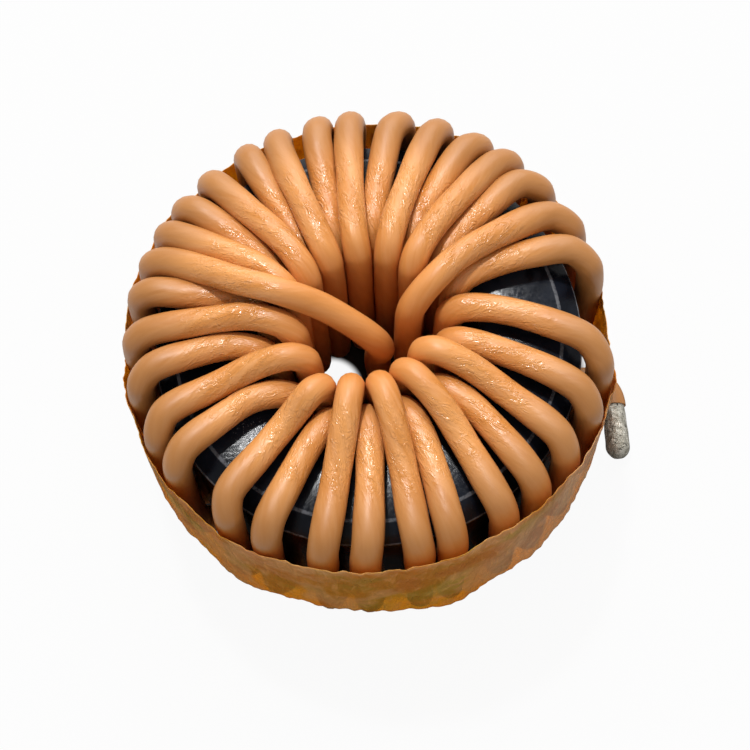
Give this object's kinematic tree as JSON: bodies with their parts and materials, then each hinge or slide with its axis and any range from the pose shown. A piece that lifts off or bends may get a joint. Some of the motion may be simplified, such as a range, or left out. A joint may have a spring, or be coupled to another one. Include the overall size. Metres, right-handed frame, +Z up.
{
  "type": "toroidal inductor",
  "caption": "Ring-core inductor lying flat: a black coated core, a winding of thick insulated litz wire in two layers, amber tape round the outside, and tinned wire ends.",
  "frame": {"origin": "on the ring's axis, in the plane that the coil rests on", "axes": "+Z up along the ring's axis, +Y away from the viewer of the picture, +X towards the side where the last turn's lead ends"},
  "size_m": [0.0577, 0.0549, 0.0335],
  "materials": {
    "core_coating": "glossy black coating",
    "wire_jacket": "glossy tan film over litz strands",
    "amber_tape": "glossy amber film",
    "tinned_wire": "dull grey solder over stranded copper"
  },
  "bodies": {
    "root": {"ring_core": "core_coating", "winding": "wire_jacket", "tape_band": "amber_tape", "tinned_end_side": "tinned_wire", "tinned_end_back": "tinned_wire"}
  },
  "joints": []
}
